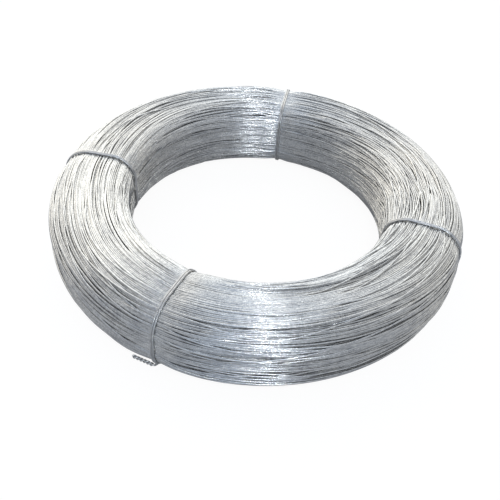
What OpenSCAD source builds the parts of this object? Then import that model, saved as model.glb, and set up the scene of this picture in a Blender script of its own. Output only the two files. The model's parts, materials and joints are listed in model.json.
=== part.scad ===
// Coil of galvanized iron wire, tied at four places.
//
// The coil is one turned solid whose section is a rounded square. Turns of wire
// show as beads on its top, its outer side and its corners, and lie unevenly, some
// deeper than their neighbours. The bore wall and the land it rests on are plain,
// because an arbor and the floor meet them.
// Four doubled ties go round the section, each sunk in a slot, and each ends in
// a short twist laid against the lower corner.
//
// The origin is on the coil's axis at the level it rests on. +Z is the axis.

/* [Coil] */
// outside diameter
coil_od = 490; // [440:1:540]
// diameter of the bore
bore_d = 305; // [280:1:330]
// height along the axis
coil_h = 92; // [84:1:110]
// radius of the two corners on the outer side
outer_corner_r = 36; // [30:1:39]
// radius of the two corners on the bore side
inner_corner_r = 30; // [26:1:34]
// height up to which the underside is plain, without beads
plain_under_h = 10; // [6:1:14]

/* [Wire] */
// diameter of the coiled wire
wire_d = 2; // [1.8:0.1:2.6]
// spacing of the turns over the wire's diameter, under 1 so that neighbours join
turn_pitch_ratio = 0.97; // [0.92:0.01:0.98]
// how much deeper than the highest turns the lowest ones lie
turn_drop = 0.6; // [0:0.1:0.8]

/* [Ties] */
// diameter of the tie wire
tie_d = 2; // [1.6:0.1:2.4]
// direction of the tie at the front left, in degrees from +X toward +Y
front_left_tie_angle = 248; // [240:1:256]
// direction of the tie on the right
right_tie_angle = 343; // [335:1:351]
// direction of the tie at the back
back_tie_angle = 82; // [74:1:90]
// direction of the tie on the left
left_tie_angle = 172; // [164:1:180]
// gap between the two passes of a tie
strand_gap = 0.15; // [0.1:0.05:0.3]
// gap between a tie and the walls of its slot
slot_clearance = 0.2; // [0.15:0.05:0.4]
// depth of a tie's strands below the plain surface of the coil
tie_sink = 0.3; // [0.2:0.05:0.6]

/* [Twist] */
// length of a tie's twisted end
twist_l = 24; // [16:1:30]
// full turns in the twisted end
twist_turns = 3; // [2:1:4]
// height of the twist's line on the lower corner, in degrees below the side
twist_drop = 40; // [30:1:50]

/* [Hidden] */
$fn = 48;

STEEL = [0.62, 0.64, 0.66];
TIE_STEEL = [0.72, 0.73, 0.74];
BEAD_SIDES = 6;                        // sides of a turn, few so that its mesh stays light
LAY_SEED = 7;                          // picks which turns lie deep
WIRE_SIDES = 8;                        // sides of a tie's wire
CORNER_STEP = 9;                       // most degrees in one step of a tie round a corner
TWIST_STEPS = 8;                       // steps in each turn of a twist
BEND_STEPS = 6;                        // steps in the bend into a twist

bore_r = bore_d / 2;
coil_r = coil_od / 2;
wire_r = wire_d / 2;
tie_r = tie_d / 2;

// centre of each corner of the section, as [distance from the axis, height, radius]
outer_x = coil_r - outer_corner_r;
inner_x = bore_r + inner_corner_r;
outer_low = [outer_x, outer_corner_r, outer_corner_r];
outer_high = [outer_x, coil_h - outer_corner_r, outer_corner_r];
inner_low = [inner_x, inner_corner_r, inner_corner_r];
inner_high = [inner_x, coil_h - inner_corner_r, inner_corner_r];

strand_offset = tie_r + strand_gap / 2;              // each pass from the tie's middle
tie_line = tie_sink + tie_r;                         // its centre line below the surface
slot_depth = tie_sink + tie_d + slot_clearance;      // floor of the slot below the surface
slot_half_w = strand_offset + tie_r + slot_clearance;
slot_half_angle = asin(slot_half_w / bore_r);
floor_half_angle = 2 * slot_half_angle;              // its floor runs on into the coil
twist_at = 360 - twist_drop;                         // direction of the twist on its corner
twist_lift = strand_offset + tie_r + slot_clearance; // centre of the twist above the surface
twist_start = 2 * tie_d;                             // from the tie's middle to its first turn
twist_lead = 16;                                     // from the twist to each pass's end, degrees
bend_l = 2 * tie_d;                                  // reach of a bend's two ends
tie_angles = [back_tie_angle, left_tie_angle, front_left_tie_angle, right_tie_angle];

// ---- the coil's section, drawn with x as distance from the axis and y as height

// The disc of a corner, `inset` inside the coil's surface, between two distances from the axis.
module corner_disc(corner, inset, from_x, to_x) {
    intersection() {
        translate([corner[0], corner[1]]) circle(r = corner[2] - inset);
        translate([from_x, 0]) square([to_x - from_x, coil_h]);
    }
}

// The rounded square, `inset` inside the coil's own surface.
module section(inset = 0) {
    for (c = [outer_low, outer_high]) corner_disc(c, inset, inner_x, coil_r);
    for (c = [inner_low, inner_high]) corner_disc(c, inset, bore_r, outer_x);
    translate([inner_x, inset]) square([outer_x - inner_x, coil_h - 2 * inset]);
    translate([bore_r + inset, inner_corner_r])
        square([outer_x - bore_r - inset, coil_h - 2 * inner_corner_r]);
    translate([inner_x, outer_corner_r])
        square([coil_r - inset - inner_x, coil_h - 2 * outer_corner_r]);
}

// How deep each of `count` turns lies below the highest: about half of them not at all.
function drops(count, seed) =
    [for (drop = rands(-turn_drop, turn_drop, count, seed)) max(0, drop)];

// One turn of wire, as a polygon about the wire's circle with a flat facing `out`,
// `drop` deeper than the point where it would touch the coil's surface.
module bead(at, out, drop) {
    translate(at - drop * [cos(out), sin(out)])
        rotate(out - 180 / BEAD_SIDES)
            circle(r = wire_r / cos(180 / BEAD_SIDES), $fn = BEAD_SIDES);
}

// Beads along a straight line, from one point to the other.
module beads_on_line(from, to, out) {
    n = ceil(norm(to - from) / (wire_d * turn_pitch_ratio));
    drop = drops(n + 1, LAY_SEED + out);
    for (i = [0 : n]) bead(from + (to - from) * i / n, out, drop[i]);
}

// Beads round a corner between two directions, leaving out both ends.
module beads_on_corner(corner, start, end) {
    r = corner[2] - wire_r;
    n = ceil(r * PI * (end - start) / 180 / (wire_d * turn_pitch_ratio));
    drop = drops(n, LAY_SEED + start);
    for (i = [1 : n - 1])
        let (a = start + (end - start) * i / n)
            bead([corner[0] + r * cos(a), corner[1] + r * sin(a)], a, drop[i]);
}

// Direction in which a lower corner rises past the plain underside, from straight down.
function plain_angle(corner) = acos(1 - plain_under_h / corner[2]);

// The section with its turns: sunk by a wire's radius where beads stand on it,
// and full size at the bore wall and the underside.
module wound_section() {
    section(wire_r);
    translate([bore_r, inner_corner_r])
        square([inner_corner_r, coil_h - 2 * inner_corner_r]);
    intersection() {
        section();
        square([coil_r, plain_under_h]);
    }

    beads_on_line([inner_x, coil_h - wire_r], [outer_x, coil_h - wire_r], 90);
    beads_on_line([coil_r - wire_r, outer_corner_r], [coil_r - wire_r, coil_h - outer_corner_r], 0);
    beads_on_corner(outer_high, 0, 90);
    beads_on_corner(inner_high, 90, 180);
    beads_on_corner(inner_low, 180, 270 - plain_angle(inner_low));
    beads_on_corner(outer_low, 270 + plain_angle(outer_low), 360);
}

// ---- ties, drawn in the XZ plane and turned to their place

// A point `depth` under the surface of a corner, in direction `a`, at `y` across the tie.
function on_corner(corner, a, depth, y) =
    [corner[0] + (corner[2] - depth) * cos(a), y, corner[1] + (corner[2] - depth) * sin(a)];

// Points along a corner from one direction to another.
function round_corner(corner, from, to, y) =
    let (n = ceil((to - from) / CORNER_STEP))
        [for (i = [0 : n]) on_corner(corner, from + (to - from) * i / n, tie_line, y)];

// One pass round the section, from just above the twist to just below it.
function tie_pass(y) = concat(
    round_corner(outer_low, twist_at + twist_lead, 360, y),
    round_corner(outer_high, 0, 90, y),
    round_corner(inner_high, 90, 180, y),
    round_corner(inner_low, 180, 270, y),
    round_corner(outer_low, 270, twist_at - twist_lead, y));

// Where the first pass crosses to the place of the second, under the twist.
function tie_cross() =
    let (n = ceil(2 * twist_lead / CORNER_STEP))
        [for (i = [1 : n - 1])
            let (t = 2 * i / n - 1)
                on_corner(outer_low, twist_at + twist_lead * t, tie_line, -strand_offset * t)];

// One strand of the twist, outward from the tie. `side` is 1 for the upper strand.
function twist_strand(side) =
    [for (i = [0 : TWIST_STEPS * twist_turns])
        let (turn = 360 * i / TWIST_STEPS, out = [cos(twist_at), 0, sin(twist_at)],
             up = [-sin(twist_at), 0, cos(twist_at)])
            on_corner(outer_low, twist_at, -twist_lift, -twist_start)
            + side * strand_offset * (up * cos(turn) + out * sin(turn))
            - [0, twist_l * i / (TWIST_STEPS * twist_turns), 0]];

// A smooth bend between two points that leaves and arrives in the given directions.
function bend(p, leave, q, arrive) =
    [for (i = [1 : BEND_STEPS - 1])
        let (t = i / BEND_STEPS, u = 1 - t)
            u * u * u * p + 3 * u * u * t * (p + leave) + 3 * u * t * t * (q - arrive) + t * t * t * q];

function backward(path) = [for (i = [len(path) - 1 : -1 : 0]) path[i]];

// From the end of a pass out into the twist. `side` says which of its strands it joins.
function tie_end(last, before, side) =
    let (strand = twist_strand(side), leave = (last - before) / norm(last - before) * bend_l)
        concat(bend(last, leave, strand[0], [0, -bend_l, 0]), strand);

// The whole wire of a tie: out of the twist, twice round the section and back.
function tie_path() =
    let (first = tie_pass(strand_offset), second = tie_pass(-strand_offset), n = len(second) - 1)
        concat(backward(tie_end(first[0], first[1], -1)), first, tie_cross(), second,
               tie_end(second[n], second[n - 1], 1));

function unit(v) = v / norm(v);
function tangents(path) =
    [for (i = [0 : len(path) - 1])
        unit(path[min(i + 1, len(path) - 1)] - path[max(i - 1, 0)])];

// A direction across the wire at each point, carried along without turning about it.
function across(along, first) =
    [for (i = 0, n = first; i < len(along); i = i + 1, n = carried(n, along, i)) n];
function carried(n, along, i) =
    let (t = along[min(i, len(along) - 1)]) unit(n - (n * t) * t);

// A round wire along a path, closed at both ends.
module wire(path, r) {
    along = tangents(path);
    side = across(along, unit(cross(along[0], [1, 1, 1])));
    last = len(path) - 1;
    points = [for (i = [0 : last], k = [0 : WIRE_SIDES - 1])
        let (a = 360 * k / WIRE_SIDES)
            path[i] + r * (cos(a) * side[i] + sin(a) * cross(along[i], side[i]))];
    ends = [[for (k = [0 : WIRE_SIDES - 1]) k],
            [for (k = [WIRE_SIDES - 1 : -1 : 0]) last * WIRE_SIDES + k]];
    sides = [for (i = [0 : last - 1], k = [0 : WIRE_SIDES - 1], half = [0, 1])
        let (a = i * WIRE_SIDES + k, b = i * WIRE_SIDES + (k + 1) % WIRE_SIDES)
            half == 0 ? [a, a + WIRE_SIDES, b] : [b, a + WIRE_SIDES, b + WIRE_SIDES]];
    polyhedron(points, concat(ends, sides));
}

module tie(angle) {
    color(TIE_STEEL) rotate([0, 0, angle]) wire(tie_path(), tie_r);
}

// ---- the nodes

// The wound coil between each two ties, and the plain floor of the slot at each tie.
module wire_coil() {
    color(STEEL)
        for (i = [0 : len(tie_angles) - 1], in_slot = [true, false]) {
            angle = tie_angles[i];
            next = tie_angles[(i + 1) % len(tie_angles)];
            span = next - angle + (next < angle ? 360 : 0);
            if (in_slot)
                rotate_extrude(angle = 2 * floor_half_angle, start = angle - floor_half_angle)
                    section(slot_depth);
            else
                rotate_extrude(angle = span - 2 * slot_half_angle, start = angle + slot_half_angle)
                    wound_section();
        }
}
module tie_front_left() tie(front_left_tie_angle);
module tie_right() tie(right_tie_angle);
module tie_back() tie(back_tie_angle);
module tie_left() tie(left_tie_angle);

wire_coil();
tie_front_left();
tie_right();
tie_back();
tie_left();
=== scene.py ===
"""Dresses a coil of galvanized iron wire: its turns, its ties, the floor, the light and the camera."""

import json
import logging
import math
from dataclasses import dataclass, field
from enum import Enum

import bmesh
import bpy
import numpy as np
from mathutils import Matrix, Vector


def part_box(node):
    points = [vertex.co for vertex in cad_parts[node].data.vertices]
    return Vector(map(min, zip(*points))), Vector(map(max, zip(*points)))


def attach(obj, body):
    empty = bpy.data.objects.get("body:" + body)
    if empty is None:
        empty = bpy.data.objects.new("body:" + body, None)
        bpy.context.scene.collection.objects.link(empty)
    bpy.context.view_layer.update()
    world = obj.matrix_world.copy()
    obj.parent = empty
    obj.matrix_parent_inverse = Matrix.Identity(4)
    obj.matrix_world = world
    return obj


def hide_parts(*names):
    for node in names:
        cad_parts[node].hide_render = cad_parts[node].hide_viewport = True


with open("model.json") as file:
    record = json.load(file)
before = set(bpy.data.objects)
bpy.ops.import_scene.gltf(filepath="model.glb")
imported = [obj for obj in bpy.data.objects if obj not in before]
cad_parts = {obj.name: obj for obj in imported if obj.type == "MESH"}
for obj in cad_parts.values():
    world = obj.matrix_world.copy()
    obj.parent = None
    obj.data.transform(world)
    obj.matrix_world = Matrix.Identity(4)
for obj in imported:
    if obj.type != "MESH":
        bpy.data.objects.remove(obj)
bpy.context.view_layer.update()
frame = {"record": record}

log = logging.getLogger("wire_coil")
Colour = tuple[float, float, float]
Stop = tuple[float, Colour]
MM = 0.001
FULL_TURN = 2 * math.pi
SINE_POWER = 0.5  # mean square of a sine
VARIED_POWER = 0.3  # mean square of a sine whose height is drawn from 0.5 to 1


class Stretch(Enum):
    """A stretch of the coil's section that one group of turns covers."""

    UNDER = "turns_underside"
    BORE = "turns_bore_side"
    OUTER = "turns_outer_side"
    TOP = "turns_top"


@dataclass(frozen=True)
class CoilSection:
    """The coil's section: a rounded square that is turned round the Z axis.

    Lengths run round its outline from the top of the bore wall: over the top, down the outer
    side, under and up the bore wall.
    """

    outer_r: float
    bore_r: float
    height: float
    outer_corner: float = 36 * MM
    inner_corner: float = 30 * MM

    def runs(self) -> list[tuple[float, float, float, float, float]]:
        """The outline as runs of (length, radius or 0 if straight, r, z, direction in radians).

        Returns:
            Corners and straight runs in turn. Straight runs give their starting point and
            heading, and corners their centre and the direction from it to where they start.
        """
        inner_x = self.bore_r + self.inner_corner
        outer_x = self.outer_r - self.outer_corner
        top, low_in, low_out = self.height, self.inner_corner, self.outer_corner
        quarter = math.pi / 2
        return [
            (quarter * low_in, low_in, inner_x, top - low_in, math.pi),
            (outer_x - inner_x, 0.0, inner_x, top, 0.0),
            (quarter * low_out, low_out, outer_x, top - low_out, quarter),
            (top - 2 * low_out, 0.0, self.outer_r, top - low_out, -quarter),
            (quarter * low_out, low_out, outer_x, low_out, 0.0),
            (outer_x - inner_x, 0.0, outer_x, 0.0, math.pi),
            (quarter * low_in, low_in, inner_x, low_in, -quarter),
            (top - 2 * low_in, 0.0, self.bore_r, low_in, quarter),
        ]

    def length(self) -> float:
        """The length of the outline."""
        return sum(run[0] for run in self.runs())

    def stretch(self, part: Stretch) -> tuple[float, float]:
        """Where a stretch starts and ends, each in the middle of a corner.

        Args:
            part: The stretch.

        Returns:
            Its two ends as lengths round the outline, the second one greater than the first.
        """
        ends = [0.0]
        for run in self.runs():
            ends.append(ends[-1] + run[0])
        middle = [start + 0.5 * (end - start) for start, end in zip(ends[0::2], ends[1::2])]
        return {
            Stretch.TOP: (middle[0], middle[1]),
            Stretch.OUTER: (middle[1], middle[2]),
            Stretch.UNDER: (middle[2], middle[3]),
            Stretch.BORE: (middle[3], ends[-1] + middle[0]),
        }[part]

    def place(self, s: np.ndarray, depth: np.ndarray) -> tuple[np.ndarray, np.ndarray]:
        """Points at lengths round the outline and depths below it.

        Args:
            s: Lengths round the outline, in metres, of any size.
            depth: Depths below the surface, in metres.

        Returns:
            Their distances from the axis and their heights.
        """
        s = np.mod(s, self.length())
        r, z = np.zeros_like(s), np.zeros_like(s)
        start = 0.0
        for length, radius, x0, z0, heading in self.runs():
            inside = (s >= start) & (s <= start + length)
            t = s[inside] - start
            if radius:
                a = heading - t / radius
                r[inside] = x0 + (radius - depth[inside]) * np.cos(a)
                z[inside] = z0 + (radius - depth[inside]) * np.sin(a)
            else:
                c, n = math.cos(heading), math.sin(heading)
                r[inside] = x0 + t * c + depth[inside] * n
                z[inside] = z0 + t * n - depth[inside] * c
            start += length
        return r, z

    def points(self, theta: np.ndarray, s: np.ndarray, depth: np.ndarray) -> np.ndarray:
        """Points at directions round the coil, lengths round the outline and depths below it."""
        r, z = self.place(s, depth)
        return np.stack([r * np.cos(theta), r * np.sin(theta), z], axis=1)


@dataclass(frozen=True)
class Swell:
    """A smooth random field over the direction round the coil and the length round its section."""

    seed: int
    height: float
    round_waves: tuple[int, int]
    across_waves: tuple[int, int]
    count: int = 14

    def at(self, theta: np.ndarray, s: np.ndarray, outline: float) -> np.ndarray:
        """The field's height.

        Args:
            theta: Directions round the coil, in radians.
            s: Lengths round the outline there.
            outline: The length of the whole outline.

        Returns:
            The height at each place.
        """
        rng = np.random.default_rng(self.seed)
        out = np.zeros_like(theta)
        for _ in range(self.count):
            m = rng.integers(self.round_waves[0], self.round_waves[1] + 1)
            q = rng.integers(self.across_waves[0], self.across_waves[1] + 1)
            sign = rng.choice((-1, 1))
            phase = rng.uniform(0, FULL_TURN)
            wave = np.sin(sign * m * theta + q * FULL_TURN * s / outline + phase)
            out += rng.uniform(0.5, 1.0) * wave
        return self.height * out / math.sqrt(self.count * VARIED_POWER)


@dataclass(frozen=True)
class Wander:
    """How far one wire strays on its own as it goes round, with stretches that stray further.

    Its waves come between the slowest and the fastest, counted in waves a turn, and the fast
    ones are lower by the steepness. A few slow gusts make it stray more or less than the calm.
    """

    height: float
    slowest: float
    fastest: float
    count: int
    steepness: float
    calm: float = 0.8
    gust: float = 0.4
    gusts: int = 4
    gust_rate: tuple[float, float] = (0.05, 0.4)

    def along(self, tau: np.ndarray, rng: np.random.Generator) -> np.ndarray:
        """The wire's straying.

        Args:
            tau: The angles that it has turned through, in radians.
            rng: Where its waves are drawn from.

        Returns:
            How far it strays at each angle.
        """
        out, gain = np.zeros_like(tau), np.zeros_like(tau)
        for _ in range(self.count):
            f = math.exp(rng.uniform(math.log(self.slowest), math.log(self.fastest)))
            out += rng.normal() * f ** -self.steepness * np.sin(f * tau + rng.uniform(0, FULL_TURN))
        for _ in range(self.gusts):
            gain += np.sin(rng.uniform(*self.gust_rate) * tau + rng.uniform(0, FULL_TURN))
        return self.height * out / math.sqrt(self.count * SINE_POWER) * (self.calm + self.gust * gain)


@dataclass(frozen=True)
class Flow:
    """How neighbouring turns sway together as they go round, changing slowly from turn to turn.

    The turns lie in groups of some turns each, and each group sways a little in its own way
    too, so that it laps over the next one in places and parts from it in others.
    """

    height: float
    own: float
    waves: tuple[int, int]
    change: float
    count: int = 14
    group: tuple[int, int] = (6, 22)

    def sway(self, tau: np.ndarray, rng: np.random.Generator) -> np.ndarray:
        """A sway of unit size, whose waves change by a share of a wave in each turn.

        Args:
            tau: The angles that the wire has turned through, in radians.
            rng: Where the waves are drawn from.

        Returns:
            The sway at each angle.
        """
        out = np.zeros_like(tau)
        for _ in range(self.count):
            m = rng.integers(self.waves[0], self.waves[1] + 1)
            f = m + rng.uniform(-self.change, self.change)
            out += rng.normal() / m * np.sin(f * tau + rng.uniform(0, FULL_TURN))
        return out / math.sqrt(self.count * SINE_POWER)

    def along(self, tau: np.ndarray, rng: np.random.Generator) -> np.ndarray:
        """The wire's sway, with its neighbours and with its own group.

        Args:
            tau: The angles that it has turned through, in radians.
            rng: Where the waves and the groups' sizes are drawn from.

        Returns:
            The sway at each angle.
        """
        out = self.height * self.sway(tau, rng)
        start = 0.0
        while start < tau[-1]:
            end = start + FULL_TURN * rng.integers(self.group[0], self.group[1] + 1)
            inside = (np.clip((tau - start) / FULL_TURN + 0.5, 0, 1)
                      * np.clip((end - tau) / FULL_TURN + 0.5, 0, 1))
            out += self.own * inside * self.sway(tau, rng)
            start = end
        return out


@dataclass(frozen=True)
class Parting:
    """A place where two neighbouring turns lie apart, so that the deeper ones show between them.

    Its direction and its span along the turns are in degrees, and it lies at a length round the
    outline. The push turns round from one side to the other over its edge, and dies away over
    its reach.
    """

    direction: float
    at: float
    width: float
    span: float
    reach: float = 9 * MM
    edge: float = 0.6 * MM

    def push(self, station: np.ndarray, s: np.ndarray, outline: float, stations: int) -> np.ndarray:
        """How far it pushes each turn aside.

        Args:
            station: The stations that the wire passes, from 0.
            s: The wire's lengths round the outline there.
            outline: The length of the whole outline.
            stations: Stations in one turn.

        Returns:
            The push at each station, away from the line of the turn that the parting splits.
        """
        middle = round(self.direction / 360 * stations)
        turn = np.rint((station - middle) / stations).astype(int)
        here = np.clip(turn * stations + middle, 0, len(station) - 1)
        d = np.mod(s[here] - self.at + outline / 2, outline) - outline / 2
        away = (station - middle - turn * stations) / stations * 360
        along = np.exp(-(away / self.span) ** 2)
        return self.width * along * np.tanh(d / self.edge) * np.exp(-np.abs(d) / self.reach)


@dataclass(frozen=True)
class Crossover:
    """One wire that slips across its neighbours at a place on the coil.

    Its direction, span and length are in degrees round the coil, and it slips from one length
    round the outline to another.
    """

    direction: float
    start: float
    end: float
    span: float
    length: float = 100.0

    def path(self, stations: int) -> tuple[np.ndarray, np.ndarray]:
        """Where the wire goes.

        Args:
            stations: Stations in one turn.

        Returns:
            The stations that it passes and its lengths round the outline there.
        """
        middle = round(self.direction / 360 * stations)
        half = round(self.length / 360 * stations / 2)
        station = np.arange(middle - half, middle + half + 1)
        away = (station - middle) / stations * 360 / self.span
        return station, self.start + (self.end - self.start) * 0.5 * (1 + np.tanh(away))


@dataclass
class Pile:
    """How high the turns laid so far stand, round the coil and round its outline."""

    outline: float
    stations: int
    wire_r: float
    cell: float = 0.4 * MM
    cells: int = field(init=False)
    tops: np.ndarray = field(init=False)
    offsets: np.ndarray = field(init=False)
    arch: np.ndarray = field(init=False)

    def __post_init__(self) -> None:
        """Starts with nothing laid."""
        self.cells = round(self.outline / self.cell)
        self.tops = np.zeros((self.stations, self.cells))
        reach = int(self.wire_r / self.cell)
        self.offsets = np.arange(-reach, reach + 1)
        self.arch = np.sqrt(self.wire_r ** 2 - (self.offsets * self.cell) ** 2)

    def under(self, station: np.ndarray, s: np.ndarray) -> tuple[np.ndarray, np.ndarray]:
        """The rows and columns of the cells under a wire at each station."""
        columns = np.rint(s / self.outline * self.cells).astype(int)[:, None] + self.offsets
        return np.mod(station, self.stations)[:, None], np.mod(columns, self.cells)

    def rest(self, station: np.ndarray, s: np.ndarray) -> np.ndarray:
        """How high a wire's centre line is where the wire rests on the turns below it."""
        return (self.tops[self.under(station, s)] + self.arch).max(axis=1)

    def lay(self, station: np.ndarray, s: np.ndarray, z: np.ndarray) -> None:
        """Adds one turn of wire whose centre line is at height z."""
        rows, columns = self.under(station, s)
        self.tops[rows, columns] = np.maximum(self.tops[rows, columns], z[:, None] + self.arch)

    def smooth(self, round_cells: float, across_cells: float) -> np.ndarray:
        """The pile's height with its small relief smoothed away.

        Args:
            round_cells: How many cells round the coil it is smoothed over.
            across_cells: The same round the outline.

        Returns:
            The height at each cell.
        """
        rows = np.fft.fftfreq(self.stations)[:, None]
        columns = np.fft.fftfreq(self.cells)[None, :]
        spread = (rows * round_cells) ** 2 + (columns * across_cells) ** 2
        keep = np.exp(-2 * (math.pi ** 2) * spread)
        return np.fft.ifft2(np.fft.fft2(self.tops) * keep).real


@dataclass
class Course:
    """One length of wire in the coil: where it goes, and how finely it is modelled.

    At each station it passes, it lies at a length s round the outline and at a height z on the
    pile. Only one station in each step is modelled.
    """

    piece: str
    station: np.ndarray
    s: np.ndarray
    step: int = 1
    z: np.ndarray = field(init=False)

    def __post_init__(self) -> None:
        """Starts on the ground of the pile."""
        self.z = np.zeros_like(self.s)


def noise(tree: bpy.types.NodeTree, place: bpy.types.NodeSocket, scale: float,
          detail: float) -> bpy.types.NodeSocket:
    """Adds a noise texture to a finish.

    Args:
        tree: The finish's nodes.
        place: The coordinates that it reads.
        scale: Its scale.
        detail: Its levels of detail.

    Returns:
        Its value.
    """
    node = tree.nodes.new("ShaderNodeTexNoise")
    node.inputs["Scale"].default_value = scale
    node.inputs["Detail"].default_value = detail
    tree.links.new(place, node.inputs["Vector"])
    return node.outputs["Fac"]


def multiply_add(tree: bpy.types.NodeTree, value: bpy.types.NodeSocket, factor: float,
                 base: bpy.types.NodeSocket) -> bpy.types.NodeSocket:
    """Adds a multiple of one value to another.

    Args:
        tree: The finish's nodes.
        value: The value that is multiplied.
        factor: What it is multiplied by.
        base: The value that it is added to.

    Returns:
        The sum.
    """
    node = tree.nodes.new("ShaderNodeMath")
    node.operation = "MULTIPLY_ADD"
    node.inputs[1].default_value = factor
    tree.links.new(value, node.inputs[0])
    tree.links.new(base, node.inputs[2])
    return node.outputs[0]


@dataclass(frozen=True)
class ZincFinish:
    """Zinc on drawn wire: bright metal, clouded and dulled in places, with fine draw marks."""

    name: str
    bright: Colour
    dull: Colour
    roughness: tuple[float, float]
    metal: float = 1.0
    cloud_scale: float = 30.0
    turn_contrast: float = 0.7
    dash_scale: tuple[float, float, float] = (130.0, 900.0, 0.0)
    dash_contrast: float = 3.0
    tone_range: float = 0.7
    mark_scale: float = 420.0
    mark_depth: float = 0.2 * MM
    bump: float = 0.15

    def build(self) -> bpy.types.Material:
        """Makes the material.

        Returns:
            The material, which reads Object coordinates and the "lay" attribute.
        """
        mat = bpy.data.materials.new(self.name)
        mat.use_nodes = True
        tree = mat.node_tree
        nodes, links = tree.nodes, tree.links
        shader = nodes["Principled BSDF"]
        shader.inputs["Metallic"].default_value = self.metal
        place = nodes.new("ShaderNodeTexCoord").outputs["Object"]

        colour = nodes.new("ShaderNodeMix")
        colour.data_type = "RGBA"
        colour.inputs["A"].default_value = (*self.dull, 1)
        colour.inputs["B"].default_value = (*self.bright, 1)
        links.new(self.tone(tree, place), colour.inputs["Factor"])
        links.new(colour.outputs["Result"], shader.inputs["Base Color"])

        marks = noise(tree, place, scale=self.mark_scale, detail=4)
        rough = nodes.new("ShaderNodeMapRange")
        rough.inputs["To Min"].default_value = self.roughness[0]
        rough.inputs["To Max"].default_value = self.roughness[1]
        links.new(marks, rough.inputs["Value"])
        links.new(rough.outputs["Result"], shader.inputs["Roughness"])

        relief = nodes.new("ShaderNodeBump")
        relief.inputs["Strength"].default_value = self.bump
        relief.inputs["Distance"].default_value = self.mark_depth
        links.new(marks, relief.inputs["Height"])
        links.new(relief.outputs["Normal"], shader.inputs["Normal"])
        return mat

    def tone(self, tree: bpy.types.NodeTree, place: bpy.types.NodeSocket) -> bpy.types.NodeSocket:
        """Adds the zinc's tone: clouds, a tone of its own for each turn, and dull dashes along it.

        Args:
            tree: The finish's nodes.
            place: The coordinates that the clouds read.

        Returns:
            The tone, from 0 where the zinc is dull to 1 where it is bright.
        """
        nodes, links = tree.nodes, tree.links
        lay = nodes.new("ShaderNodeAttribute")
        lay.attribute_name = "lay"
        split = nodes.new("ShaderNodeSeparateXYZ")
        links.new(lay.outputs["Vector"], split.inputs[0])
        spread = nodes.new("ShaderNodeVectorMath")
        spread.operation = "MULTIPLY"
        spread.inputs[1].default_value = self.dash_scale
        links.new(lay.outputs["Vector"], spread.inputs[0])

        clouds = noise(tree, place, scale=self.cloud_scale, detail=3)
        dashes = noise(tree, spread.outputs[0], scale=1, detail=2)
        turned = multiply_add(tree, split.outputs["Y"], self.turn_contrast, clouds)
        dashed = multiply_add(tree, dashes, self.dash_contrast, turned)
        middle = 0.5 * (1 + self.turn_contrast + self.dash_contrast)
        tone = nodes.new("ShaderNodeMapRange")
        tone.inputs["From Min"].default_value = middle - self.tone_range
        tone.inputs["From Max"].default_value = middle + self.tone_range
        links.new(dashed, tone.inputs["Value"])
        return tone.outputs["Result"]


def lay_along(path: np.ndarray, tone: np.ndarray) -> np.ndarray:
    """What the zinc's finish reads along a wire, as its "lay" attribute.

    Args:
        path: The wire's points.
        tone: The turn's own tone at each of them, from 0 to 1.

    Returns:
        For each point, the length of wire up to it, its tone and an unused 0.
    """
    steps = np.linalg.norm(np.diff(path, axis=0), axis=1)
    run = np.concatenate([[0], np.cumsum(steps)])
    return np.stack([run, tone, np.zeros_like(run)], axis=1)


def wire_mesh(name: str, wires: list[tuple[np.ndarray, np.ndarray]], radius: float, sides: int,
              material: bpy.types.Material) -> bpy.types.Object:
    """Makes round wires with closed ends, as one mesh.

    Args:
        name: The piece's name.
        wires: For each wire its points, in metres, and its "lay" attribute at each of them.
        radius: The wires' radius.
        sides: Sides of a wire, an even number from 4.
        material: The wires' finish.

    Returns:
        The piece, at the origin.
    """
    data = bpy.data.curves.new(name, "CURVE")
    data.dimensions = "3D"
    data.twist_mode = "MINIMUM"
    data.bevel_depth = radius
    data.bevel_resolution = sides // 2 - 2
    for path, _ in wires:
        spline = data.splines.new("POLY")
        spline.points.add(len(path) - 1)
        points = np.hstack([path, np.ones((len(path), 1))]).astype(np.float32)
        spline.points.foreach_set("co", points.ravel())
        spline.use_smooth = True
    drawn = bpy.data.objects.new(name + "_line", data)
    bpy.context.scene.collection.objects.link(drawn)
    mesh = bpy.data.meshes.new_from_object(drawn.evaluated_get(bpy.context.evaluated_depsgraph_get()))
    bpy.data.objects.remove(drawn)
    bpy.data.curves.remove(data)
    mesh.name = name
    mesh.materials.clear()
    mesh.materials.append(material)
    values = np.repeat(np.concatenate([lay for _, lay in wires]), sides, axis=0).astype(np.float32)
    mesh.attributes.new("lay", "FLOAT_VECTOR", "POINT").data.foreach_set("vector", values.ravel())
    bm = bmesh.new()
    bm.from_mesh(mesh)
    bmesh.ops.holes_fill(bm, edges=[edge for edge in bm.edges if edge.is_boundary])
    bm.to_mesh(mesh)
    bm.free()
    piece = bpy.data.objects.new(name, mesh)
    bpy.context.scene.collection.objects.link(piece)
    return piece


def report(piece: bpy.types.Object) -> None:
    """Logs a piece's name and its triangles."""
    piece.data.calc_loop_triangles()
    log.info("%s: %d triangles", piece.name, len(piece.data.loop_triangles))


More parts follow.
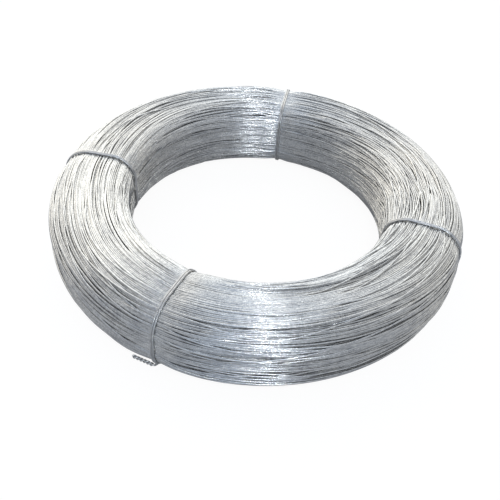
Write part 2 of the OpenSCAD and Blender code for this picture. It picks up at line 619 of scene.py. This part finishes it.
@dataclass
class WireCoil:
    """The wound wire: groups of turns, laid one on another over an inner ring whose dark colour is
    painted shade for the deeper turns.

    Stations are even steps round the coil. Each layer goes once round the section and laps over
    its own start. Each lean is a number of waves round the coil, a size and a phase in degrees.
    The cover is how deep the pile's smoothed level lies under the outline, and the ring cover is
    how deep the ring of hidden turns lies under the pile's ground. At a tie the turns are drawn
    in to the tied depth.
    """

    section: CoilSection
    tie_directions: tuple[float, ...]
    partings: tuple[Parting, ...]
    crossovers: tuple[Crossover, ...]
    seed: int = 31
    wire_r: float = 1.0 * MM
    sides: int = 6
    stations: int = 216
    pitch: float = 1.95 * MM
    pressed: float = 0.8
    layers: int = 2
    lap: float = 16 * MM
    deep_step: int = 3
    deep_parting: float = 0.3
    lean: tuple[tuple[int, float, float], ...] = ((1, 12 * MM, 90.0), (3, 4.7 * MM, 60.0))
    stray: Wander = Wander(0.52 * MM, 1.0, 48.0, 40, 0.35)
    drift: Swell = Swell(5, 1.0 * MM, (1, 4), (2, 6))
    flow: Flow = Flow(8.0 * MM, 1.6 * MM, (1, 4), 0.007)
    crossing_seed: int = 99
    crossing_turns: int = 48
    crossing_climb: float = 3 * MM
    crossing: Wander = Wander(11 * MM, 0.3, 5.0, 16, 0.9)
    bob: Wander = Wander(0.15 * MM, 6.0, 36.0, 30, 0.3)
    evening: tuple[float, float, float] = (0.25, 0.5, 0.25)
    evenings: int = 2
    margin: int = 4
    end_stations: int = 8
    end_dip: float = 2.2 * MM
    cover: float = 1.5 * MM
    clearance: float = 0.05 * MM
    level_cells: tuple[float, float] = (6, 50)
    lump: Swell = Swell(23, 0.9 * MM, (1, 4), (1, 5), 8)
    ridges: Swell = Swell(11, 0.35 * MM, (1, 5), (6, 24), 22)
    tied_depth: float = 3.35 * MM
    tied_spread: float = 0.3
    bite_width: float = 13 * MM
    ring_sides: int = 96
    ring_steps: int = 144
    ring_cover: float = 1.8 * MM
    pile: Pile = field(init=False)
    courses: list[Course] = field(init=False, default_factory=list)

    def angle(self, station: np.ndarray) -> np.ndarray:
        """The angle that a wire has turned through at each station."""
        return station * FULL_TURN / self.stations

    def bite(self, theta: np.ndarray) -> np.ndarray:
        """How much the ties pull the turns in.

        Args:
            theta: Directions round the coil, in radians.

        Returns:
            The pull at each direction, from 0 to 1 under a tie.
        """
        out = np.zeros_like(theta)
        for direction in self.tie_directions:
            gap = np.angle(np.exp(1j * (theta - math.radians(direction))))
            out = np.maximum(out, np.exp(-(gap * self.section.outer_r / self.bite_width) ** 2 * 0.5))
        return out

    def leaned(self, tau: np.ndarray) -> np.ndarray:
        """How far all the turns lean over together, at angles turned through."""
        return sum(size * np.sin(waves * tau + math.radians(phase)) for waves, size, phase in self.lean)

    def part(self, station: np.ndarray, s: np.ndarray, share: float = 1.0) -> np.ndarray:
        """Lays a wire's turns apart at the partings.

        Args:
            station: The stations that the wire passes, from 0.
            s: The wire's lengths round the outline there.
            share: How much of each parting's full width they take.

        Returns:
            The new lengths round the outline.
        """
        for parting in self.partings:
            s = s + share * parting.push(station, s, self.section.length(), self.stations)
        return s

    def group_at(self, line: float) -> Stretch:
        """The group of turns that a length round the outline belongs to.

        Args:
            line: The length round the outline.

        Returns:
            The group whose stretch holds it.
        """
        for group in Stretch:
            start, end = self.section.stretch(group)
            if (line - start) % self.section.length() < end - start:
                return group
        return Stretch.UNDER

    def wind_layer(self, layer: int) -> None:
        """Winds one layer once round the section, and cuts it into its groups of turns.

        Args:
            layer: The layer's number, from 0 for the deepest.
        """
        rng = np.random.default_rng((self.seed, layer))
        outline = self.section.length()
        span = outline + self.lap
        seam = sum(self.section.stretch(Stretch.UNDER)) / 2
        turns = round(span / self.pitch)
        station = np.arange(turns * self.stations + 1)
        tau = self.angle(station)
        share = station / station[-1]
        line = seam + span * (share if layer % 2 == 0 else 1 - share)
        s = (line + self.leaned(tau) + self.stray.along(tau, rng)
             + self.drift.at(tau, line, outline) + self.flow.along(tau, rng))
        s = self.part(station, s, 1.0 if layer else self.deep_parting)

        groups = [self.group_at(middle) for middle in line[self.stations // 2::self.stations]]
        start = 0
        for turn in range(1, turns + 1):
            if turn == turns or groups[turn] is not groups[start]:
                cut = slice(start * self.stations, turn * self.stations + 1)
                step = 1 if layer else self.deep_step
                self.courses.append(Course(groups[start].value, station[cut], s[cut], step))
                start = turn

    def wind(self) -> None:
        """Works out every course, from the deepest to the wires that cross over the rest."""
        outline = self.section.length()
        self.pile = Pile(outline, self.stations, self.wire_r * self.pressed)
        for layer in range(self.layers):
            self.wind_layer(layer)
        rng = np.random.default_rng((self.seed, self.crossing_seed))
        station = np.arange(self.crossing_turns * self.stations + 1)
        tau = self.angle(station)
        s = rng.uniform(0, outline) + self.crossing_climb * tau + self.crossing.along(tau, rng)
        s = self.part(station, s + self.leaned(tau))
        self.courses.append(Course("turns_crossing", station, s))
        for crossover in self.crossovers:
            self.courses.append(Course("turns_crossing", *crossover.path(self.stations)))
        for course in self.courses:
            self.settle(course)
            course.z += self.bob.along(self.angle(course.station), rng)

    def settle(self, course: Course) -> None:
        """Lays a course on the pile, turn by turn, and finds how high it comes to rest.

        Its height is evened out along the wire, with a margin of stations beyond each turn's
        ends, so that they are evened out too. Its own two ends dip among the turns below.

        Args:
            course: The course, whose height this fills in.
        """
        last_z = None
        total = len(course.station)
        for start in range(0, total, self.stations):
            stop = min(start + self.stations, total)
            wide = np.arange(start - self.margin, stop + self.margin + 1)
            inside = np.clip(wide, 0, total - 1)
            raw = self.pile.rest(course.station[inside], course.s[inside])
            raw = np.maximum(raw, np.maximum(np.roll(raw, 1), np.roll(raw, -1)))
            for _ in range(self.evenings):
                raw = np.convolve(raw, self.evening, "same")
            z = raw[self.margin:-self.margin]
            if last_z is not None:
                z = z + (last_z - z[0]) * np.clip(1 - np.arange(len(z)) / self.end_stations, 0, 1)
            last_z = z[-1]
            z = z[: stop - start]
            course.z[start:stop] = z
            self.pile.lay(course.station[start:stop], course.s[start:stop], z)
        ends = np.minimum(np.arange(total), np.arange(total)[::-1]) / self.end_stations
        course.z -= self.end_dip * np.clip(1 - ends, 0, 1) ** 2

    def depth(self, course: Course, level: np.ndarray) -> np.ndarray:
        """How deep a course lies below the section's outline.

        Args:
            course: The course, at rest on the pile.
            level: The smoothed height of the pile at each of its cells.

        Returns:
            The depth of the wire's centre line at each station.
        """
        theta, outline = self.angle(course.station), self.section.length()
        row = np.mod(course.station, self.stations)
        column = np.mod(np.rint(course.s / outline * self.pile.cells).astype(int), self.pile.cells)
        rise = self.lump.at(theta, course.s, outline) + self.ridges.at(theta, course.s, outline)
        bite = self.bite(theta)
        under = level[row, column] - course.z
        loose = under + self.cover - rise
        tied = self.tied_depth + self.tied_spread * np.maximum(under, 0)
        least = self.wire_r + self.clearance
        return np.maximum(loose * (1 - bite) + tied * bite, least + (self.tied_depth - least) * bite)

    def drawn(self, course: Course, level: np.ndarray, number: int) -> tuple[np.ndarray, np.ndarray]:
        """A course as points to draw a wire along.

        Args:
            course: The course, at rest on the pile.
            level: The smoothed height of the pile at each of its cells.
            number: The course's number in its group, which its turns' tones are drawn by.

        Returns:
            The points and the "lay" attribute at each of them.
        """
        theta = self.angle(course.station)
        path = self.section.points(theta, course.s, self.depth(course, level))[::course.step]
        rng = np.random.default_rng((self.seed, len(course.s), number))
        turned = (course.station - course.station[0]) / self.stations
        tones = rng.random(int(turned[-1]) + 2)
        tone = np.interp(turned, np.arange(len(tones)), tones)[::course.step]
        return path, lay_along(path, tone)

    def inner_ring(self, finish: bpy.types.Material, depth: float) -> bpy.types.Object:
        """Turns the ring of hidden turns that the outer ones lie on; its dark colour is painted shade
        where the deeper turns show between them.

        Args:
            finish: Its finish, a dark colour that is painted shade.
            depth: Its depth below the section's outline.

        Returns:
            The ring, at the origin.
        """
        s = np.linspace(0, self.section.length(), self.ring_sides + 1)[:-1]
        r, z = self.section.place(s, np.full_like(s, depth))
        bm = bmesh.new()
        verts = [bm.verts.new((a, 0, b)) for a, b in zip(r, z)]
        edges = [bm.edges.new((verts[i], verts[(i + 1) % len(verts)])) for i in range(len(verts))]
        bmesh.ops.spin(bm, geom=verts + edges, cent=(0, 0, 0), axis=(0, 0, 1), angle=FULL_TURN,
                       steps=self.ring_steps, use_merge=True)
        bmesh.ops.remove_doubles(bm, verts=bm.verts[:], dist=1e-6)
        bmesh.ops.recalc_face_normals(bm, faces=bm.faces[:])
        for face in bm.faces:
            face.smooth = True
        mesh = bpy.data.meshes.new("inner_turns")
        bm.to_mesh(mesh)
        bm.free()
        mesh.materials.append(finish)
        ring = bpy.data.objects.new("inner_turns", mesh)
        bpy.context.scene.collection.objects.link(ring)
        return ring

    def build(self, finish: bpy.types.Material, dark: bpy.types.Material) -> None:
        """Builds every group of turns in place of the CAD coil, and logs their triangles.

        Args:
            finish: The wires' finish.
            dark: The inner ring's finish, a dark colour that is painted shade.
        """
        self.wind()
        level = self.pile.smooth(*self.level_cells)
        pieces = []
        for name in dict.fromkeys(course.piece for course in self.courses):
            group = [course for course in self.courses if course.piece == name]
            wires = [self.drawn(course, level, number) for number, course in enumerate(group)]
            pieces.append(wire_mesh(name, wires, self.wire_r, self.sides, finish))
        # The inner ring's dark colour is painted shade for the hidden turns between the outer ones.
        pieces.append(self.inner_ring(dark, float(level.mean()) + self.cover + self.ring_cover))
        for piece in pieces:
            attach(piece, "root")
            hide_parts("wire_coil")
            report(piece)


@dataclass
class Tie:
    """A tie that goes twice round the section, with its two ends twisted together.

    It is worked out in the XZ plane and turned to its direction round the coil. The drop and
    the lead of its twist are in degrees round the low outer corner. Each part of its path has
    a number of points, and the twist has its number for each turn.
    """

    node: str
    direction: float
    section: CoilSection
    wire_r: float = 1.0 * MM
    sides: int = 10
    tone: float = 0.5
    strand_offset: float = 1.075 * MM
    sink: float = 0.3 * MM
    twist_drop: float = 40.0
    twist_lead: float = 16.0
    twist_lift: float = 2.275 * MM
    twist_length: float = 24 * MM
    twist_turns: float = 3.0
    twist_start: float = 4 * MM
    bend_reach: float = 4 * MM
    around_points: int = 150
    across_points: int = 10
    bend_points: int = 10
    twist_points: int = 14

    def at(self, s: float | np.ndarray, lift: float | np.ndarray, y: float | np.ndarray) -> np.ndarray:
        """Points in the tie's own plane and beside it.

        Args:
            s: Lengths round the outline.
            lift: Heights above the outline.
            y: Distances across the tie.

        Returns:
            The points, as many as the longest of the three has.
        """
        s, lift, y = (np.atleast_1d(np.asarray(v, float)) for v in np.broadcast_arrays(s, lift, y))
        r, z = self.section.place(s, -lift)
        return np.stack([r, y, z], axis=1)

    def twist(self, side: int, s0: float) -> np.ndarray:
        """One strand of the twisted end.

        Args:
            side: -1 for the wire's first end and 1 for its last.
            s0: The length round the outline where the twist lies.

        Returns:
            The strand's points, outward from the tie.
        """
        t = np.linspace(0, 1, round(self.twist_points * self.twist_turns) + 1)
        turn = FULL_TURN * self.twist_turns * t
        return self.at(s0 - side * self.strand_offset * np.cos(turn),
                       self.twist_lift + side * self.strand_offset * np.sin(turn),
                       -self.twist_start - self.twist_length * t)

    def bend(self, p: np.ndarray, leave: np.ndarray, q: np.ndarray, arrive: np.ndarray) -> np.ndarray:
        """A smooth bend between two points.

        Args:
            p: The point that it starts from.
            leave: How it leaves it, as a step toward where it heads.
            q: The point that it ends at.
            arrive: How it arrives, as a step in its direction there.

        Returns:
            The points between the two.
        """
        t = np.linspace(0, 1, self.bend_points)[1:-1, None]
        return ((1 - t) ** 3 * p + 3 * (1 - t) ** 2 * t * (p + leave)
                + 3 * (1 - t) * t ** 2 * (q - arrive) + t ** 3 * q)

    def path(self) -> np.ndarray:
        """The whole wire: out of the twist, twice round the section and back into the twist.

        Returns:
            Its points, in the tie's place on the coil.
        """
        outline = self.section.length()
        corner = self.section.outer_corner
        start_low = sum(run[0] for run in self.section.runs()[:4])
        s0 = start_low + corner * math.radians(self.twist_drop)
        lead = corner * math.radians(self.twist_lead)
        around = np.linspace(s0 - lead, s0 + lead - outline, self.around_points)
        across = np.linspace(s0 + lead, s0 - lead, self.across_points)[1:-1]
        line = -(self.sink + self.wire_r)
        first = self.at(around, line, self.strand_offset)
        cross = self.at(across, line, -self.strand_offset * (s0 - across) / lead)
        second = self.at(around, line, -self.strand_offset)
        ends = []
        for run, side in ((first[:2][::-1], -1), (second[-2:], 1)):
            strand = self.twist(side, s0)
            leave = (run[1] - run[0]) / np.linalg.norm(run[1] - run[0]) * self.bend_reach
            arrive = np.array([0, -self.bend_reach, 0])
            ends.append(np.vstack([self.bend(run[1], leave, strand[0], arrive), strand]))
        flat = np.vstack([ends[0][::-1], first, cross, second, ends[1]])
        a = math.radians(self.direction)
        turn = np.array([[math.cos(a), math.sin(a), 0], [-math.sin(a), math.cos(a), 0], [0, 0, 1]])
        return flat @ turn

    def build(self, finish: bpy.types.Material) -> None:
        """Builds the tie in place of its CAD node.

        Args:
            finish: Its finish.
        """
        path = self.path()
        lay = lay_along(path, np.full(len(path), self.tone))
        piece = wire_mesh(self.node + "_wire", [(path, lay)], self.wire_r, self.sides, finish)
        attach(piece, "root")
        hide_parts(self.node)
        report(piece)


def plain_white(tree: bpy.types.NodeTree, seen: float, mirrored: float) -> bpy.types.NodeSocket:
    """Adds the share of plain white that the surroundings show to each kind of ray.

    Args:
        tree: The nodes of the floor's finish or of the sky.
        seen: The share that the camera sees, straight or through glass.
        mirrored: The share that metal mirrors.

    Returns:
        The share.
    """
    nodes, links = tree.nodes, tree.links
    rays = nodes.new("ShaderNodeLightPath")
    share: bpy.types.NodeSocket | None = None
    for ray, part in (("Is Camera Ray", seen), ("Is Transmission Ray", seen),
                      ("Is Glossy Ray", mirrored)):
        scaled = nodes.new("ShaderNodeMath")
        scaled.operation = "MULTIPLY"
        scaled.inputs[1].default_value = part
        links.new(rays.outputs[ray], scaled.inputs[0])
        if share is not None:
            most = nodes.new("ShaderNodeMath")
            most.operation = "MAXIMUM"
            links.new(share, most.inputs[0])
            links.new(scaled.outputs[0], most.inputs[1])
            scaled = most
        share = scaled.outputs[0]
    return share


@dataclass(frozen=True)
class Lamp:
    """A square lamp that faces the coil.

    Its direction is in degrees round the coil from +X toward +Y, its elevation in degrees above
    the horizon, its side and its distance in metres and its power in watts.
    """

    name: str
    direction: float
    elevation: float
    side: float
    power: float
    colour: Colour
    distance: float = 2.2

    def hang(self, centre: Vector) -> None:
        """Hangs the lamp.

        Args:
            centre: The middle of the coil.
        """
        a, e = math.radians(self.direction), math.radians(self.elevation)
        data = bpy.data.lights.new(self.name, "AREA")
        data.shape = "SQUARE"
        data.size = self.side
        data.energy = self.power
        data.color = self.colour
        lamp = bpy.data.objects.new(self.name, data)
        way = Vector((math.cos(a) * math.cos(e), math.sin(a) * math.cos(e), math.sin(e)))
        lamp.location = centre + way * self.distance
        lamp.rotation_euler = (-way).to_track_quat("-Z", "Y").to_euler()
        lamp.visible_camera = False
        bpy.context.scene.collection.objects.link(lamp)


@dataclass(frozen=True)
class Sky:
    """A pale dome, cooler in front of the coil and warmer behind it, that looks plain white.

    Each stop is a height, from 0 at the horizon to 1 overhead, and a colour. The sides blend
    over the turn's width, and a tinted band runs over the coil from front to back.
    """

    front: tuple[Stop, ...] = ((0.0, (0.34, 0.38, 0.43)), (0.10, (0.37, 0.41, 0.48)),
                               (0.25, (0.38, 0.415, 0.47)), (1.0, (0.45, 0.47, 0.51)))
    back: tuple[Stop, ...] = ((0.0, (0.98, 0.95, 0.90)), (0.12, (0.90, 0.88, 0.83)),
                              (0.40, (0.70, 0.695, 0.67)), (1.0, (0.45, 0.47, 0.51)))
    turn: float = 0.4
    tint: Colour = (0.92, 1.15, 1.46)
    tint_width: float = 0.5

    def ramp(self, tree: bpy.types.NodeTree, height: bpy.types.NodeSocket,
             stops: tuple[Stop, ...]) -> bpy.types.NodeSocket:
        """Adds a ramp of colours from the horizon up.

        Args:
            tree: The sky's nodes.
            height: The height in the sky.
            stops: The ramp's stops.

        Returns:
            The colour.
        """
        ramp = tree.nodes.new("ShaderNodeValToRGB")
        elements = ramp.color_ramp.elements
        while len(elements) < len(stops):
            elements.new(0.5)
        for element, (place, colour) in zip(elements, stops):
            element.position, element.color = place, (*colour, 1)
        tree.links.new(height, ramp.inputs["Fac"])
        return ramp.outputs["Color"]

    def colour(self, tree: bpy.types.NodeTree) -> bpy.types.NodeSocket:
        """Adds the sky's own colour.

        Args:
            tree: The sky's nodes.

        Returns:
            The colour in each direction.
        """
        nodes, links = tree.nodes, tree.links
        way = nodes.new("ShaderNodeTexCoord")
        split = nodes.new("ShaderNodeSeparateXYZ")
        links.new(way.outputs["Generated"], split.inputs[0])

        turn = nodes.new("ShaderNodeMapRange")
        turn.inputs["From Min"].default_value = -self.turn
        turn.inputs["From Max"].default_value = self.turn
        links.new(split.outputs["Y"], turn.inputs["Value"])
        blend = nodes.new("ShaderNodeMix")
        blend.data_type = "RGBA"
        for stops, side in ((self.front, "A"), (self.back, "B")):
            links.new(self.ramp(tree, split.outputs["Z"], stops), blend.inputs[side])
        links.new(turn.outputs["Result"], blend.inputs["Factor"])

        aside = nodes.new("ShaderNodeMath")
        aside.operation = "ABSOLUTE"
        links.new(split.outputs["X"], aside.inputs[0])
        near = nodes.new("ShaderNodeMapRange")
        near.inputs["From Max"].default_value = self.tint_width
        near.inputs["To Min"].default_value = 1.0
        near.inputs["To Max"].default_value = 0.0
        links.new(aside.outputs[0], near.inputs["Value"])
        tint = nodes.new("ShaderNodeMix")
        tint.data_type, tint.blend_type = "RGBA", "MULTIPLY"
        tint.inputs["B"].default_value = (*self.tint, 1)
        links.new(blend.outputs["Result"], tint.inputs["A"])
        links.new(near.outputs["Result"], tint.inputs["Factor"])
        return tint.outputs["Result"]

    def build(self, mirrored: float) -> None:
        """Makes the world, which is seen as plain white.

        Args:
            mirrored: The share of plain white that metal mirrors.
        """
        world = bpy.data.worlds.new("studio")
        bpy.context.scene.world = world
        world.use_nodes = True
        nodes, links = world.node_tree.nodes, world.node_tree.links
        shown = nodes.new("ShaderNodeMix")
        shown.data_type = "RGBA"
        shown.inputs["B"].default_value = (1, 1, 1, 1)
        links.new(self.colour(world.node_tree), shown.inputs["A"])
        links.new(plain_white(world.node_tree, 1.0, mirrored), shown.inputs["Factor"])
        links.new(shown.outputs["Result"], nodes["Background"].inputs["Color"])
        nodes["Background"].inputs["Strength"].default_value = 1.0


@dataclass
class Studio:
    """The floor, the lamps, the sky and the camera.

    The camera's elevation and roll are in degrees and its lens in millimetres.
    """

    section: CoilSection
    lamps: tuple[Lamp, ...]
    sky: Sky = Sky()
    floor_half: float = 6.0
    floor_colour: Colour = (0.41, 0.41, 0.42)
    white_share: float = 0.8
    white_strength: float = 1.18
    mirrored_share: float = 0.06
    distance: float = 0.800
    elevation: float = 39.33
    aim: tuple[float, float, float] = (-0.0049, 0.0, -0.0237)
    roll: float = 4.18
    lens: float = 46.9
    sensor: float = 36.0

    def centre(self) -> Vector:
        """The middle of the coil."""
        return Vector((0, 0, self.section.height / 2))

    def floor(self) -> None:
        """Lays a pale floor under the coil."""
        bm = bmesh.new()
        bmesh.ops.create_grid(bm, x_segments=1, y_segments=1, size=self.floor_half)
        mesh = bpy.data.meshes.new("floor")
        bm.to_mesh(mesh)
        bm.free()
        mesh.materials.append(self.floor_finish())
        floor = bpy.data.objects.new("floor", mesh)
        bpy.context.scene.collection.objects.link(floor)

    def floor_finish(self) -> bpy.types.Material:
        """Makes the floor's matt white.

        Returns:
            The material, which is seen as plain white and keeps a light shadow.
        """
        mat = bpy.data.materials.new("floor_white")
        mat.use_nodes = True
        nodes, links = mat.node_tree.nodes, mat.node_tree.links
        shader = nodes["Principled BSDF"]
        shader.inputs["Base Color"].default_value = (*self.floor_colour, 1)
        shader.inputs["Roughness"].default_value = 0.9
        shader.inputs["Specular IOR Level"].default_value = 0.0
        share = plain_white(mat.node_tree, self.white_share, self.mirrored_share)
        white = nodes.new("ShaderNodeEmission")
        white.inputs["Color"].default_value = (1, 1, 1, 1)
        white.inputs["Strength"].default_value = self.white_strength
        mix = nodes.new("ShaderNodeMixShader")
        links.new(share, mix.inputs["Fac"])
        links.new(shader.outputs[0], mix.inputs[1])
        links.new(white.outputs[0], mix.inputs[2])
        links.new(mix.outputs[0], nodes["Material Output"].inputs["Surface"])
        return mat

    def camera(self) -> None:
        """Sets up the camera, a little rolled."""
        el = math.radians(self.elevation)
        place = self.centre() + self.distance * Vector((0, -math.cos(el), math.sin(el)))
        ahead = (Vector(self.aim) - place).normalized()
        right = ahead.cross(Vector((0, 0, 1))).normalized()
        up = right.cross(ahead)
        roll = math.radians(self.roll)
        x_axis = right * math.cos(roll) + up * math.sin(roll)
        y_axis = up * math.cos(roll) - right * math.sin(roll)
        turned = Matrix((x_axis, y_axis, -ahead)).transposed().to_4x4()
        data = bpy.data.cameras.new("camera")
        data.lens = self.lens
        data.sensor_width = self.sensor
        camera = bpy.data.objects.new("camera", data)
        camera.matrix_world = Matrix.Translation(place) @ turned
        bpy.context.scene.collection.objects.link(camera)
        bpy.context.scene.camera = camera

    def build(self) -> None:
        """Sets the stage."""
        self.camera()
        self.floor()
        for lamp in self.lamps:
            lamp.hang(self.centre())
        self.sky.build(self.mirrored_share)
        bpy.context.scene.view_settings.view_transform = "Standard"


LAMPS = (
    Lamp("back_softbox", 108, 25, 3.6, 44, (1.0, 0.95, 0.85)),
    Lamp("front_lamp", 281, 55, 0.16, 6.8, (0.97, 0.985, 1.0)),
    Lamp("low_lamp", 283, 21, 0.16, 4.8, (0.83, 0.925, 1.0)),
)
PARTINGS = (
    Parting(155, 53.5 * MM, 2.0 * MM, 18),
    Parting(138, 19.5 * MM, 1.6 * MM, 14),
    Parting(46, 44 * MM, 2.2 * MM, 22),
    Parting(14, 57 * MM, 1.6 * MM, 12),
    Parting(45, 14 * MM, 1.5 * MM, 14),
    Parting(298, 94.5 * MM, 1.9 * MM, 9),
    Parting(187, 15 * MM, 2.0 * MM, 6),
    Parting(68, 27 * MM, 2.1 * MM, 20),
    Parting(96, 20 * MM, 1.9 * MM, 9),
    Parting(128, 4 * MM, 1.8 * MM, 15),
    Parting(58, 304 * MM, 1.8 * MM, 13),
)
CROSSOVERS = (
    Crossover(286, 103 * MM, 92 * MM, 9),
    Crossover(265, 92 * MM, 103 * MM, 8),
    Crossover(300, 70 * MM, 80 * MM, 8),
    Crossover(340, 92 * MM, 80 * MM, 8),
    Crossover(205, 62 * MM, 76 * MM, 9),
    Crossover(140, 58 * MM, 70 * MM, 10),
)
TIES = {"tie_front_left": 248.0, "tie_right": 343.0, "tie_back": 82.0, "tie_left": 172.0}
ZINC = ZincFinish("zinc_wire", (0.84, 0.83, 0.80), (0.52, 0.52, 0.52), (0.19, 0.32), metal=0.9)
# Painted shade: the hidden turns are the same zinc, coloured dark for the shade between the outer
# turns.
INNER_PAINTED_SHADE = ZincFinish("inner_turns_painted_shade", (0.24, 0.24, 0.25), (0.15, 0.15, 0.16), (0.5, 0.7))
TIE_ZINC = ZincFinish("zinc_tie", (0.80, 0.79, 0.77), (0.46, 0.46, 0.46), (0.26, 0.40), metal=0.8)


def coil_section() -> CoilSection:
    """The coil's section, from the frame's own sizes.

    Returns:
        The section.
    """
    low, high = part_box("wire_coil")
    bore = next(m for m in frame["record"]["mounts"] if m["name"] == "bore")
    return CoilSection(outer_r=high[0], bore_r=bore["dims"]["r_mm"] * MM, height=high[2] - low[2])


def main() -> None:
    """Builds the stage, the coil and its ties."""
    logging.basicConfig(level=logging.INFO, format="%(name)s: %(message)s")
    section = coil_section()
    Studio(section, LAMPS).build()
    WireCoil(section, tuple(TIES.values()), PARTINGS, CROSSOVERS).build(ZINC.build(), INNER_PAINTED_SHADE.build())
    tie_zinc = TIE_ZINC.build()
    for node, direction in TIES.items():
        Tie(node, direction, section).build(tie_zinc)


if __name__ == "__main__":
    main()
